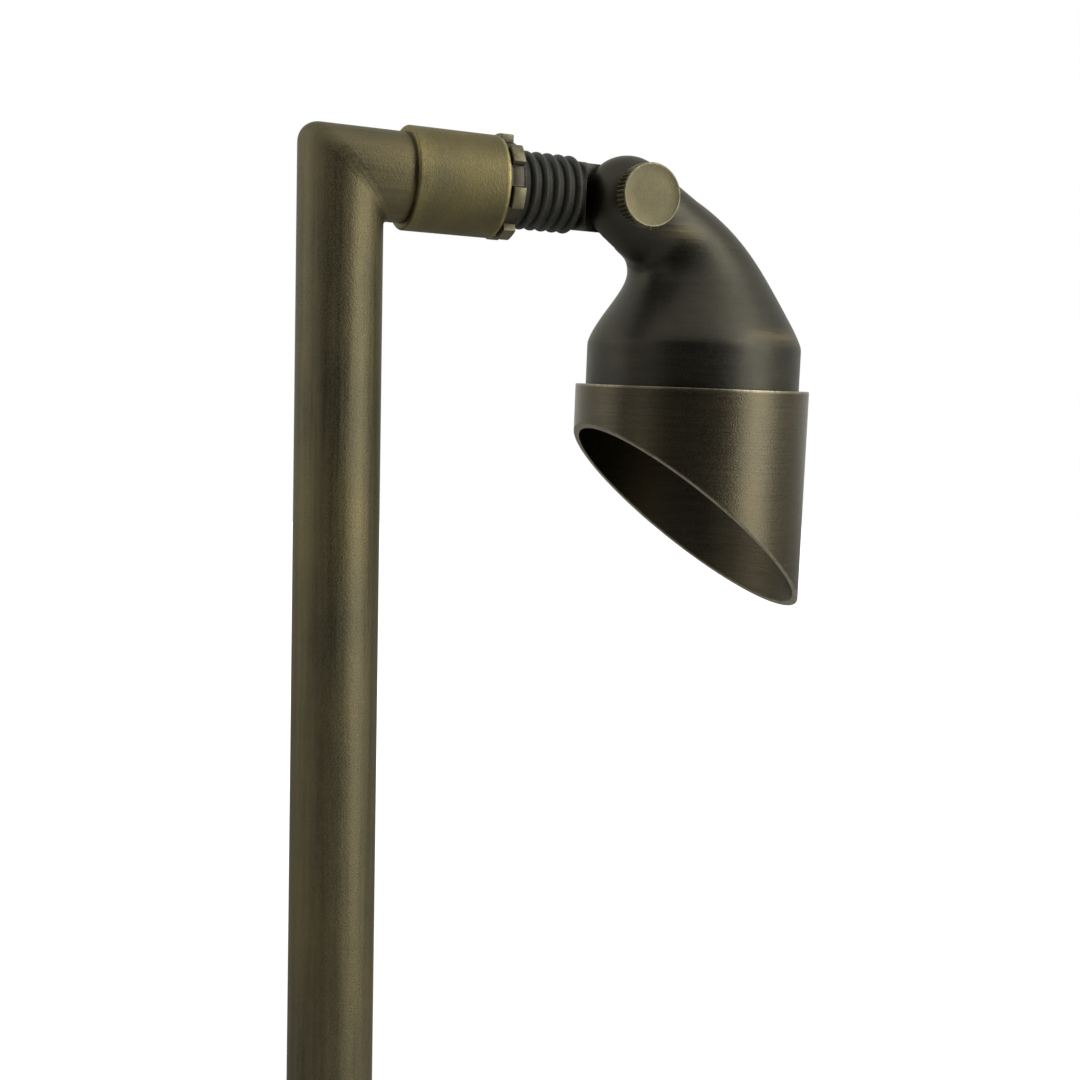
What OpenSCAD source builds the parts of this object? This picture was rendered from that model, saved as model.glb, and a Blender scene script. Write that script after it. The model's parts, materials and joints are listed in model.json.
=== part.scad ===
// Hooded directional path light in aged brass.
// A round post turns through a mitred corner into a short arm. A coupling, a lock nut and
// a ribbed sleeve lead to a half-lap knuckle, and a swan-neck head with a slant-cut shroud
// hangs from it. Z is up, the arm runs along +X, and the origin is the shoulder where the
// post meets its base nipple. Lengths are in millimetres, angles in degrees.

/* [Post and arm] */
// Height from the post's foot to the top of the corner
total_h = 457.6; // [300:0.1:700]
// Outside diameter of the post's tube
tube_d = 22.2; // [20:0.1:28]
// How much thicker the arm's tube is, on the radius
arm_step = 0.6; // [0:0.1:1.2]
// Wall of the post's and the arm's tube
tube_wall = 2; // [1.9:0.1:2.5]
// Radius ground on the outside of the corner
corner_r = 5.5; // [2:0.5:5.5]

/* [Base nipple] */
// Diameter over the thread of the base nipple
base_thread_d = 20.9; // [19:0.1:22]
// Length of the threaded stub below the post
base_thread_l = 16; // [10:1:25]
// Length of the nipple inside the post
base_stub_l = 14; // [8:1:30]
// Bore for the supply wires
base_bore_d = 12; // [8:0.5:14]
// Thickness of the grommet's lip
grommet_lip = 1.5; // [1:0.1:3]
// Wall of the grommet
grommet_wall = 1.5; // [1:0.1:2.5]
// Length of the grommet inside the bore
grommet_l = 6; // [3:0.5:9]

/* [Coupling] */
// Distance from the post's axis to the coupling
coupling_x = 16.7; // [15:0.1:30]
// Length of the coupling
coupling_l = 25.8; // [20:0.1:40]
// Wall of the coupling round the arm
coupling_wall = 1.8; // [1.5:0.1:4]
// Depth of the coupling's socket for the arm
coupling_socket_l = 12; // [8:0.5:15]
// Rounding of the coupling's edges
coupling_edge_r = 0.8; // [0.5:0.1:1.4]
// Thickness of the flat seal under the lock nut
seal_t = 0.4; // [0.3:0.1:1.5]

/* [Lock nut] */
// Length of the lock nut
nut_l = 3.2; // [2.8:0.1:6]
// Diameter at the root of the lugs
nut_root_d = 24.6; // [22:0.1:25]
// Diameter over the lugs
nut_d = 28.3; // [27:0.1:33]
// Width of a lug
lug_w = 5.6; // [4:0.1:7]
// Angle of the first lug round the arm
nut_angle = 8; // [-180:1:180]

/* [Swivel shank] */
// Diameter of the shank's thread
shank_d = 16; // [14:0.1:17]
// Length of the shank inside the coupling
shank_in_coupling = 11; // [8:0.5:12]
// Diameter of the plain neck beside the knuckle
neck_d = 18.5; // [17:0.1:20]
// Bore of the shank for the leads
shank_bore_d = 9; // [6:0.5:10]
// Length of the ribbed sleeve
sleeve_l = 16.2; // [12:0.1:18]
// Diameter over the ribs
sleeve_d = 20.9; // [20:0.1:24]
// Diameter between the ribs
sleeve_root_d = 18.9; // [17.6:0.1:19.5]

/* [Knuckle] */
// Distance from the post's axis to the hinge
hinge_x = 81.1; // [79:0.1:95]
// Radius of the head's ball-shaped knuckle half
boss_r = 12; // [11.8:0.1:13]
// How far the centre of that ball lies from the lap
ball_offset = 2.5; // [2:0.1:4]
// Distance of the flat under the thumbscrew from the lap
boss_flat = 12.5; // [11:0.1:13]
// Gap between the two lap faces
lap_gap = 0.8; // [0.6:0.1:1.5]
// Clearance round the swinging knuckle halves
knuckle_clear = 0.8; // [0.5:0.1:1.5]
// Clearance between the ball and the notch that the shank leaves for it
notch_clear = 3.6; // [0.5:0.1:4]
// Radius of the hollow that the leads cross the knuckle in
pocket_r = 6.6; // [6.2:0.1:7]
// Depth of that hollow on each side
pocket_depth = 5; // [3:0.5:6]
// Angle of the head round the arm
swivel_angle = 4.3; // [-20:0.1:20]
// Angle of the head away from the post
tilt_angle = 0.6; // [-15:0.1:30]

/* [Thumbscrew] */
// Diameter of the knurled head
knob_d = 17.4; // [14:0.1:20]
// Thickness of the knurled head
knob_t = 4.8; // [3:0.1:8]
// Number of knurl teeth
knurl_teeth = 52; // [24:1:72]
// Thickness of the plain rim in front of the knurl
knob_rim = 0.7; // [0.5:0.1:1.5]
// Bevel of that rim
knob_bevel = 0.25; // [0.1:0.05:0.4]
// Depth of the knurl
knurl_depth = 0.45; // [0.2:0.05:0.8]
// Diameter of the screw
screw_d = 5; // [4:0.1:6]
// Depth of the screw in the shank's knuckle half
screw_reach = 7; // [5:0.5:7.5]
// Thickness of the washer under the head
washer_t = 0.6; // [0.4:0.1:1]
// Diameter of that washer
washer_d = 12; // [9:0.5:14]

/* [Head housing] */
// Distance from the hinge to the head's axis
axis_offset = 24.9; // [22:0.1:28]
// Diameter of the barrel
barrel_d = 61.2; // [59:0.1:64]
// Drop from the hinge to the shoulder of the barrel
shoulder_drop = 38.5; // [36:0.1:44]
// Radius of the swan neck beside the knuckle
cowl_neck_r = 13; // [12.6:0.1:13.4]
// How far the swan neck narrows inside the knuckle
cowl_nose = 1.5; // [1.2:0.1:2]
// How sharply the swan neck bends
cowl_bend = 3.9; // [3:0.1:4.5]
// How late the swan neck flares
cowl_flare = 1.8; // [1.4:0.05:2.2]
// How fully the flare rounds into the barrel
cowl_round = 1.35; // [1:0.05:1.8]
// Share of the path's slope that the sections lean by
cowl_lean_share = 0.46; // [0.3:0.01:0.6]
// Wall of the barrel
barrel_wall = 3; // [2.5:0.1:3.5]
// Bore of the wire way from the lamp space to the knuckle
wireway_d = 5; // [3:0.5:6]

/* [Shroud] */
// Wall of the shroud round the barrel
shroud_step = 2.5; // [2.2:0.1:5]
// Wall of the shroud
shroud_wall = 1.6; // [1.2:0.1:2]
// Drop from the hinge to the shroud's top edge
seam_drop = 50.9; // [49:0.1:58]
// Length of the shroud's short side
shroud_short = 11.3; // [11.3:0.1:20]
// Length of the shroud's long side
shroud_long = 64.2; // [50:0.1:80]
// Gap between barrel and shroud
shroud_gap = 0.4; // [0.3:0.05:0.5]
// Length of barrel inside the shroud
engage = 5.2; // [5:0.1:5.6]
// Thickness of the ledge over the lens
ledge_t = 1.4; // [1:0.1:1.8]
// Width of that ledge
ledge_w = 3; // [2:0.1:4.5]
// Section of the barrel's sealing ring
ring_d = 2.4; // [2:0.1:2.6]

/* [Lens] */
// Thickness of the lens
lens_t = 2.2; // [2:0.1:2.3]
// Thickness of the gasket over the lens
gasket_t = 0.6; // [0.4:0.1:0.8]
// Width of the gasket's and retaining ring's band
gasket_w = 3; // [2:0.1:4]
// Thickness of the retaining ring
keeper_t = 0.9; // [0.6:0.1:1]

/* [Lamp] */
// Gap between the lamp's reflector and the barrel's bore
lamp_side_gap = 2.6; // [2:0.1:3.6]
// Depth of the reflector
lamp_l = 25; // [22:0.5:26]
// Wall of the reflector
lamp_wall = 1; // [0.8:0.1:1.5]
// Diameter of the lamp's base
lamp_base_d = 13; // [11:0.5:14]
// Length of the lamp's base
lamp_base_l = 7; // [5:0.5:8]
// Diameter of a lamp pin
pin_d = 1.5; // [1:0.1:1.6]
// Spacing of the lamp pins
pin_gap = 5.3; // [4:0.1:6]
// Length of a lamp pin
pin_l = 6; // [4:0.5:7]
// Diameter of the lamp holder
socket_d = 12.6; // [11:0.1:13]
// Length of the lamp holder
socket_l = 8; // [7:0.5:9]
// Thickness of the strap that carries the lamp holder
strap_t = 1; // [0.8:0.1:1.5]
// Width of that strap
strap_w = 9; // [8:0.5:11]
// Distance of the strap's screws from the barrel's bore
strap_foot_in = 3; // [2.6:0.1:3.6]
// Thickness of the lamp's chip
chip_t = 1; // [0.6:0.1:2]
// Diameter of the strap's screws
strap_screw_d = 2.5; // [2:0.1:3]
// Length of the strap's screws
strap_screw_l = 3.5; // [3:0.1:4]

/* [Hidden] */

// Facets of round shapes, of hidden or small ones, and of the swan neck's sections
$fn = 96;
cowl_sides = 48;
cowl_steps = 16;
// Overrun of cuts, and clearance of brazed, pressed and turning seats
over = 1;
seat = 0.04;
run_fit = 0.05;
rest_gap = 0.3;

tube_r = tube_d / 2;
tube_bore_r = tube_r - tube_wall;
arm_r = tube_r + arm_step;
arm_bore_r = arm_r - tube_wall;
arm_z = total_h - arm_r;
coupling_r = arm_r + coupling_wall;
coupling_end = coupling_x + coupling_l;
arm_end = coupling_x + coupling_socket_l;
shank_r = shank_d / 2;
shank_start = coupling_end - shank_in_coupling;
nut_x = coupling_end + seal_t + rest_gap / 2;
sleeve_x = nut_x + nut_l + rest_gap;
sleeve_end = sleeve_x + sleeve_l;
rib_count = 5;
rib_share = 0.34;
lug_count = 7;
neck_r = neck_d / 2;
lap = lap_gap / 2;
swing_r = boss_r + knuckle_clear;
notch_r = boss_r + notch_clear;
screw_r = screw_d / 2;
hub_wall = 2;
hub_r = screw_r + hub_wall;
skin = 0.6;
friction_t = lap_gap - rest_gap;

barrel_r = barrel_d / 2;
bore_r = barrel_r - barrel_wall;
shroud_bore_r = barrel_r + shroud_gap;
shroud_r = shroud_bore_r + shroud_step;
shroud_d = 2 * shroud_r;
cowl_sink = rest_gap / 2;
barrel_end = seam_drop + engage;
ledge_top = barrel_end + rest_gap;
gasket_top = ledge_top + ledge_t;
lens_top = gasket_top + gasket_t;
keeper_top = lens_top + lens_t;
lens_r = shroud_r - shroud_wall - rest_gap;
ring_drop = seam_drop + engage / 2;
ring_mid_r = shroud_bore_r - ring_d / 2 - run_fit;

lamp_front = barrel_end;
lamp_back = lamp_front - lamp_l;
base_back = lamp_back - lamp_base_l;
socket_top = base_back - socket_l;
foot_drop = shoulder_drop + barrel_wall;
foot_t = strap_screw_l;
lamp_r = bore_r - lamp_side_gap;
strap_foot_r = bore_r - strap_foot_in;
strap_top_w = socket_d / 2 + strap_t + seat;
strap_boss_t = 4;
bell_share = 0.27;
nose_share = 0.16;
screw_head_share = 1.7;

// Colours as the photograph shows them
brass_dark = [0.22, 0.21, 0.16];
brass_post = [0.28, 0.25, 0.17];
brass_light = [0.42, 0.38, 0.22];
rubber = [0.10, 0.10, 0.09];

// Places a child in the frame of the arm's axis, with X along the arm
module on_arm(x = 0) {
    translate([x, 0, arm_z]) children();
}

// Places a child in the swivelled frame of the hinge
module on_hinge() {
    on_arm(hinge_x) rotate([swivel_angle, 0, 0]) children();
}

// Places a child in the head's frame: the hinge at the origin, Z along the head's axis
module on_head() {
    on_hinge() rotate([0, -tilt_angle, 0]) children();
}

// Places a child on the head's own axis, drop below the hinge
module on_head_axis(drop = 0) {
    on_head() translate([axis_offset, 0, -drop]) children();
}

// A cylinder along X
module rod_x(r, l) {
    rotate([0, 90, 0]) cylinder(r = r, h = l);
}

// A cylinder along Y, from y0 to y1
module rod_y(r, y0, y1) {
    translate([0, y0, 0]) rotate([-90, 0, 0]) cylinder(r = r, h = y1 - y0);
}

// A ring along Z, upward from zero
module ring_z(r_out, r_in, h) {
    difference() {
        cylinder(r = r_out, h = h);
        translate([0, 0, -over]) cylinder(r = r_in, h = h + 2 * over);
    }
}

// The corner's outline seen from the front: a big sheet with one ground corner
module corner_sheet() {
    reach = hinge_x;
    translate([0, tube_d, arm_z]) rotate([90, 0, 0]) linear_extrude(2 * tube_d)
        difference() {
            translate([-tube_r, -total_h - base_thread_l])
                square([reach + tube_r, total_h + base_thread_l + arm_r]);
            translate([-tube_r, arm_r - corner_r]) difference() {
                translate([-over, 0]) square([corner_r + over, corner_r + over]);
                translate([corner_r, 0]) circle(r = corner_r);
            }
        }
}

// Half space on the post's side of the mitre
module mitre_block() {
    translate([0, 0, arm_z]) rotate([0, 45, 0])
        translate([-total_h * 2, -tube_d, -total_h * 2])
            cube([total_h * 4, tube_d * 2, total_h * 2]);
}

module post() {
    color(brass_post) intersection() {
        difference() {
            cylinder(r = tube_r, h = total_h);
            translate([0, 0, -over]) cylinder(r = tube_bore_r, h = total_h + 2 * over);
        }
        mitre_block();
        corner_sheet();
    }
}

module arm() {
    color(brass_post) intersection() {
        difference() {
            on_arm(-tube_r) difference() {
                rod_x(arm_r, arm_end + tube_r);
                translate([-over, 0, 0]) rod_x(arm_bore_r, arm_end + tube_r + 2 * over);
            }
            mitre_block();
        }
        corner_sheet();
    }
}

module base_nipple() {
    color(brass_dark) difference() {
        union() {
            translate([0, 0, -base_thread_l]) cylinder(d = base_thread_d, h = base_thread_l);
            cylinder(r = tube_bore_r - seat, h = base_stub_l);
        }
        translate([0, 0, -base_thread_l - over])
            cylinder(d = base_bore_d, h = base_thread_l + base_stub_l + 2 * over);
    }
}

module wire_grommet() {
    grommet_r = base_bore_d / 2 - seat;
    color(rubber) translate([0, 0, -base_thread_l]) difference() {
        union() {
            cylinder(r = grommet_r, h = grommet_l);
            translate([0, 0, -grommet_lip]) cylinder(r = base_bore_d / 2 + grommet_wall, h = grommet_lip);
        }
        translate([0, 0, -grommet_lip - over])
            cylinder(r = grommet_r - grommet_wall, h = grommet_l + grommet_lip + 2 * over);
    }
}

// Half section of the coupling: a rounded sleeve with a socket and a smaller tapped bore
module coupling_half() {
    difference() {
        rounded_bar(coupling_r, coupling_l, coupling_edge_r);
        translate([0, -over]) square([arm_r + seat, coupling_socket_l + over]);
        translate([0, -over]) square([shank_r + run_fit, coupling_l + 2 * over]);
    }
}

// A rectangle from the axis out to r with its two outer corners rounded
module rounded_bar(r, l, edge) {
    square([r - edge, l]);
    translate([0, edge]) square([r, l - 2 * edge]);
    for (y = [edge, l - edge]) translate([r - edge, y]) circle(r = edge);
}

module coupling() {
    color(brass_light) on_arm(coupling_x) rotate([0, 90, 0]) rotate_extrude() coupling_half();
}

module coupling_seal() {
    color(rubber) on_arm(coupling_end) rotate([0, 90, 0])
        ring_z(nut_root_d / 2, shank_r + run_fit, seal_t);
}

module lock_nut() {
    color(brass_light) on_arm(nut_x) rotate([nut_angle, 0, 0]) difference() {
        intersection() {
            union() {
                rod_x(nut_root_d / 2, nut_l);
                for (k = [0 : lug_count - 1]) rotate([k * 360 / lug_count, 0, 0])
                    translate([0, -lug_w / 2, 0]) cube([nut_l, lug_w, nut_d]);
            }
            rod_x(nut_d / 2, nut_l);
        }
        translate([-over, 0, 0]) rod_x(shank_r + run_fit, nut_l + 2 * over);
    }
}

// Half section of the sleeve: a plain wall that carries evenly pitched round ribs
module sleeve_half() {
    pitch = sleeve_l / rib_count;
    rib_r = pitch * rib_share;
    inner = shank_r + seat;
    translate([inner, 0]) square([sleeve_root_d / 2 - inner, sleeve_l]);
    for (k = [0 : rib_count - 1]) translate([sleeve_d / 2 - rib_r, (k + 0.5) * pitch])
        circle(r = rib_r);
}

module ribbed_sleeve() {
    color(rubber) on_hinge() translate([sleeve_x - hinge_x, 0, 0]) rotate([0, 90, 0])
        rotate_extrude() sleeve_half();
}

module swivel_shank() {
    wire_y = lap + skin + wireway_d / 2;
    color(brass_dark) on_hinge() difference() {
        union() {
            translate([shank_start - hinge_x, 0, 0]) rod_x(shank_r, hinge_x - shank_start);
            translate([sleeve_end - hinge_x, 0, 0]) rod_x(neck_r, hinge_x - sleeve_end);
            rotate([0, 90, 0]) sphere(r = neck_r);
        }
        rod_y(notch_r, -notch_r, lap);
        pocket(lap, 1);
        rod_y(screw_r + run_fit, -over, screw_reach + over);
        translate([shank_start - hinge_x - over, 0, 0])
            rod_x(shank_bore_d / 2, hinge_x - shank_start - notch_r);
        translate([-notch_r - 2 * over, wire_y, 0])
            rod_x(wireway_d / 2, notch_r + 2 * over - hub_r);
    }
}

// The head's half of the knuckle: a ball with a flat lap face and a flat for the washer
module knuckle_ball() {
    intersection() {
        translate([0, -ball_offset, 0]) sphere(r = boss_r);
        rod_y(boss_r + over, -boss_flat, -lap);
    }
}

// Annular hollow in a lap face, round the screw's hub
module pocket(from, side) {
    difference() {
        if (side > 0) rod_y(pocket_r, from - over, from + pocket_depth);
        else rod_y(pocket_r, -from - pocket_depth, -from + over);
        rod_y(hub_r, -boss_r, boss_r);
    }
}

module friction_washer() {
    color(rubber) on_hinge() difference() {
        rod_y(neck_r - rest_gap, lap - friction_t, lap);
        rod_y(pocket_r + seat, -over, over);
    }
}

module knurled_disc(r, t) {
    linear_extrude(t) polygon([for (k = [0 : 2 * knurl_teeth - 1])
        let (a = k * 180 / knurl_teeth, q = r - (k % 2) * knurl_depth) [q * cos(a), q * sin(a)]]);
}

module thumbscrew() {
    knob_y = boss_flat + washer_t + run_fit;
    r = knob_d / 2;
    color(brass_light) on_hinge() union() {
        translate([0, -knob_y, 0]) rotate([90, 0, 0]) {
            knurled_disc(r - run_fit, knob_t - knob_rim);
            translate([0, 0, knob_t - knob_rim]) rotate_extrude() polygon([[0, 0], [r, 0],
                [r, knob_rim - knob_bevel], [r - knob_bevel, knob_rim], [0, knob_rim]]);
        }
        rod_y(screw_r, -knob_y, screw_reach);
    }
}

module thumbscrew_washer() {
    color(brass_light) on_hinge() difference() {
        rod_y(washer_d / 2, -boss_flat - washer_t, -boss_flat);
        rod_y(screw_r + rest_gap, -boss_flat - washer_t - over, -boss_flat + over);
    }
}

// Path, lean and radius of the swan neck at the share t of its drop
function cowl_x(t) = axis_offset * (1 - pow(1 - t, cowl_bend));
function cowl_z(t) = -(shoulder_drop + rest_gap) * t;
function cowl_slope(t) = axis_offset * cowl_bend * pow(1 - t, cowl_bend - 1) / shoulder_drop;
function cowl_lean(t) = cowl_lean_share * atan(cowl_slope(t));
function cowl_swell(t) = 1 - pow(1 - pow(t, cowl_flare), cowl_round);
function cowl_narrow(t) = cowl_nose * pow(max(0, 1 - t / nose_share), 2);
function cowl_radius(t) =
    cowl_neck_r - cowl_narrow(t) + (barrel_r - cowl_sink - cowl_neck_r) * cowl_swell(t);
function cowl_point(t, a) =
    let (r = cowl_radius(t), lean = cowl_lean(t))
    [cowl_x(t) + r * cos(a) * cos(lean), r * sin(a), cowl_z(t) + r * cos(a) * sin(lean)];

// The swan neck as a loft of leaning circles
module cowl() {
    n = cowl_sides;
    rings = [for (i = [0 : cowl_steps]) for (j = [0 : n - 1])
        cowl_point(i / cowl_steps, j * 360 / n)];
    sides = [for (i = [0 : cowl_steps - 1]) for (j = [0 : n - 1])
        let (a = i * n + j, b = i * n + (j + 1) % n) each [[a, b, b + n], [a, b + n, a + n]]];
    caps = [[for (j = [n - 1 : -1 : 0]) j], [for (j = [0 : n - 1]) cowl_steps * n + j]];
    polyhedron(points = rings, faces = concat(sides, caps));
}

// Bell-shaped lamp space, with its mouth at the barrel's end
module lamp_space() {
    crown_r = norm([strap_top_w, strap_w / 2]) + rest_gap;
    crown = socket_top - strap_t - rest_gap;
    bell_r = crown_r + bell_share * (bore_r - crown_r);
    translate([axis_offset, 0, 0]) rotate_extrude() polygon([[0, -crown], [crown_r, -crown],
        [bell_r, -base_back], [bore_r, -shoulder_drop], [bore_r, -barrel_end - over],
        [0, -barrel_end - over]]);
}

// Inner bosses that the strap's feet are screwed to
module strap_bosses() {
    for (side = [-1, 1]) translate([axis_offset + side * bore_r, 0, -foot_drop])
        intersection() {
            translate([-strap_boss_t, -strap_w / 2, 0]) cube([2 * strap_boss_t, strap_w, foot_t]);
            translate([-side * bore_r, 0, 0]) cylinder(r = bore_r + over, h = foot_t);
        }
}

module housing() {
    channel_lean = atan2(socket_top, axis_offset);
    color(brass_dark) on_head() difference() {
        union() {
            difference() {
                union() {
                    cowl();
                    knuckle_ball();
                    translate([axis_offset, 0, -barrel_end])
                        cylinder(r = barrel_r, h = barrel_end - shoulder_drop);
                }
                lamp_space();
            }
            strap_bosses();
        }
        translate([axis_offset, 0, -ring_drop - ring_d / 2 - run_fit])
            ring_z(barrel_r + over, ring_mid_r - ring_d / 2, ring_d + 2 * run_fit);
        rod_y(swing_r, -lap, barrel_r);
        pocket(lap, -1);
        rod_y(screw_r + rest_gap, -barrel_r, boss_r);
        rod_y(knob_d / 2 + rest_gap, -barrel_r, -boss_flat);
        translate([0, -pocket_depth + wireway_d / 4, 0]) rotate([0, channel_lean, 0])
            translate([hub_r, 0, 0]) rod_x(wireway_d / 2, axis_offset);
        for (side = [-1, 1]) translate([axis_offset + side * strap_foot_r, 0, -foot_drop - over])
            cylinder(d = strap_screw_d + 2 * seat, h = foot_t + over);
    }
}

module barrel_ring() {
    color(rubber) on_head_axis(ring_drop) rotate_extrude()
        translate([ring_mid_r, 0]) circle(d = ring_d - 2 * run_fit);
}

module shroud() {
    slope = (shroud_long - shroud_short) / shroud_d;
    color(brass_post) on_head_axis() difference() {
        translate([0, 0, -seam_drop - shroud_long]) cylinder(r = shroud_r, h = shroud_long);
        translate([0, 0, -ledge_top]) cylinder(r = shroud_bore_r, h = shroud_long);
        translate([0, 0, -gasket_top - over]) cylinder(r = shroud_bore_r - ledge_w, h = shroud_long);
        translate([0, 0, -seam_drop - shroud_long - over])
            cylinder(r = shroud_r - shroud_wall, h = shroud_long + over - gasket_top + seam_drop);
        translate([0, shroud_d, -seam_drop]) rotate([90, 0, 0]) linear_extrude(2 * shroud_d)
            polygon([[-shroud_d, -shroud_short + slope * shroud_r],
                [shroud_d, -shroud_long - slope * shroud_r],
                [shroud_d, -shroud_long * 2], [-shroud_d, -shroud_long * 2]]);
    }
}

module lens() {
    color([0.85, 0.9, 0.9, 0.4]) on_head_axis(keeper_top) cylinder(r = lens_r, h = lens_t);
}

module lens_gasket() {
    color(rubber) on_head_axis(lens_top) ring_z(lens_r, lens_r - gasket_w, gasket_t);
}

module lens_ring() {
    color(brass_dark) on_head_axis(keeper_top + keeper_t) ring_z(lens_r, lens_r - gasket_w, keeper_t);
}

module lamp_reflector() {
    color([0.75, 0.77, 0.78]) on_head_axis(lamp_front) rotate_extrude() difference() {
        bowl_profile(lamp_r, lamp_l);
        bowl_profile(lamp_r - lamp_wall, lamp_l - lamp_wall);
        square([pin_gap, lamp_l * 2]);
    }
}

// Quarter of a bowl that narrows to the lamp's base
module bowl_profile(r, l) {
    steps = 10;
    polygon(concat([[0, 0]], [for (i = [0 : steps]) let (a = 90 * i / steps)
        [r * cos(a) * cos(a) + (1 - cos(a) * cos(a)) * lamp_base_d / 2, l * sin(a)]], [[0, l]]));
}

module lamp_chip() {
    color([0.95, 0.85, 0.4]) on_head_axis(lamp_back + chip_t) cylinder(r = pin_gap - seat, h = chip_t);
}

module lamp_base() {
    color([0.85, 0.84, 0.8]) on_head_axis(lamp_back) cylinder(d = lamp_base_d, h = lamp_base_l);
}

module lamp_pins() {
    color([0.75, 0.75, 0.75]) for (side = [-1, 1]) on_head_axis(base_back)
        translate([0, side * pin_gap / 2, 0]) cylinder(d = pin_d, h = pin_l);
}

module lamp_socket() {
    color([0.85, 0.84, 0.8]) on_head_axis(base_back) difference() {
        cylinder(d = socket_d, h = socket_l);
        for (side = [-1, 1]) translate([0, side * pin_gap / 2, -over])
            cylinder(d = pin_d + 2 * seat, h = pin_l + over + rest_gap);
    }
}

module socket_strap() {
    half = [[strap_top_w, -socket_top + strap_t], [strap_foot_r - strap_screw_d, -foot_drop],
        [strap_foot_r + strap_screw_d, -foot_drop],
        [strap_foot_r + strap_screw_d, -foot_drop - strap_t],
        [strap_foot_r - strap_screw_d - strap_t, -foot_drop - strap_t],
        [strap_top_w - strap_t, -socket_top]];
    color([0.6, 0.6, 0.6]) on_head_axis() difference() {
        translate([0, strap_w / 2, 0]) rotate([90, 0, 0]) linear_extrude(strap_w)
            polygon(concat(half, [for (i = [len(half) - 1 : -1 : 0]) [-half[i][0], half[i][1]]]));
        for (side = [-1, 1]) {
            translate([side * strap_foot_r, 0, -foot_drop - strap_t - over])
                cylinder(d = strap_screw_d + 2 * seat, h = strap_t + 2 * over);
            translate([0, side * pin_gap / 2, -socket_top - over])
                cylinder(d = pin_d + 2 * seat, h = strap_t + 2 * over);
        }
    }
}

module strap_screws() {
    color([0.6, 0.6, 0.6]) for (side = [-1, 1])
        on_head_axis(foot_drop + strap_t) translate([side * strap_foot_r, 0, 0]) {
            cylinder(d = strap_screw_d, h = strap_t + strap_screw_l - rest_gap);
            translate([0, 0, -strap_t]) cylinder(d = strap_screw_d * screw_head_share, h = strap_t);
        }
}

module socket_leads() {
    color([0.15, 0.15, 0.15]) for (side = [-1, 1])
        on_head_axis(socket_top) translate([0, side * pin_gap / 2, 0])
            cylinder(d = pin_d, h = strap_t + rest_gap);
}

post();
arm();
base_nipple();
wire_grommet();
coupling();
coupling_seal();
lock_nut();
swivel_shank();
ribbed_sleeve();
friction_washer();
thumbscrew();
thumbscrew_washer();
housing();
barrel_ring();
shroud();
lens();
lens_gasket();
lens_ring();
lamp_reflector();
lamp_chip();
lamp_base();
lamp_pins();
lamp_socket();
socket_strap();
strap_screws();
socket_leads();
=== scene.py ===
import json
import math

import bmesh
import bpy
from mathutils import Matrix, Vector


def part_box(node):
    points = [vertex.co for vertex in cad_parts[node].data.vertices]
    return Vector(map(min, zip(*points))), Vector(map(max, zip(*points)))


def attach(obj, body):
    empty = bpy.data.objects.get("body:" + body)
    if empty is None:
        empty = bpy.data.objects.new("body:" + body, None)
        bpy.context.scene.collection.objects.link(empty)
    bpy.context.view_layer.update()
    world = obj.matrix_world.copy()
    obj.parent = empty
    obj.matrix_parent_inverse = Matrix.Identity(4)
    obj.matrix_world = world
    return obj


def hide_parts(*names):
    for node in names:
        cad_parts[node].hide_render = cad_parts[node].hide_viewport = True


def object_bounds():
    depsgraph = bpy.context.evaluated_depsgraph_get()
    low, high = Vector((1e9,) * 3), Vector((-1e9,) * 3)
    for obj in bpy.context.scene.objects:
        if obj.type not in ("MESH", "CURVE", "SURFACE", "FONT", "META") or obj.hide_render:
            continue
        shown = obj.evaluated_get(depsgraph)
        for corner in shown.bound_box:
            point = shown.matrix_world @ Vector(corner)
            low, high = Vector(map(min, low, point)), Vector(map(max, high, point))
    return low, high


mm = 0.001
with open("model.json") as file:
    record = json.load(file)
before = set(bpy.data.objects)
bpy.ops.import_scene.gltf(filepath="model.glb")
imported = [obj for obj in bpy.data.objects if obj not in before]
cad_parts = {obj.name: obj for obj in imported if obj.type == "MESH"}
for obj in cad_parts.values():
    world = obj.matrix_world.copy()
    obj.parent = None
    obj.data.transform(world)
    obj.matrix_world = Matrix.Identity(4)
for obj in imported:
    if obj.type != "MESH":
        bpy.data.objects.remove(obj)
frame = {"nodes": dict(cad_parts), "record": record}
cadBox = [list(corner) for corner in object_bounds()]
nodes = frame["nodes"]
joints = {joint["name"]: joint for joint in frame["record"]["behaviour"]["joints"]}
print("frame loaded:", len(nodes), "nodes")


# Frames of the arm, the hinge and the head, read from the joints

armHeight = joints["tilt"]["pos_m"][2]
hingePlace = Vector(joints["tilt"]["pos_m"])
hingeSide = -Vector(joints["tilt"]["axis"]).normalized()
headUp = -Vector(joints["shroud_pull"]["axis"]).normalized()
headFront = hingeSide.cross(headUp).normalized()


def frameMatrix(place, front, side, up):
    turn = Matrix((front, side, up)).transposed().to_4x4()
    return Matrix.Translation(place) @ turn


headFrame = frameMatrix(hingePlace, headFront, hingeSide, headUp)
armFrame = Matrix.Translation((0, 0, armHeight))


# Camera

cameraSetup = {
    "place": (-110.1, -375.2, -80.6),  # from the elbow, mm
    "yaw": 24.1,  # degrees to the right of +Y
    "pitch": -1.94,
    "roll": 0.97,
    "lens": 50.0,
}


def addObject(name, data):
    obj = bpy.data.objects.new(name, data)
    bpy.context.collection.objects.link(obj)
    return obj


def meshObject(name, points, faces):
    mesh = bpy.data.meshes.new(name)
    mesh.from_pydata(points, [], faces)
    mesh.validate()
    return addObject(name, mesh)


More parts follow.
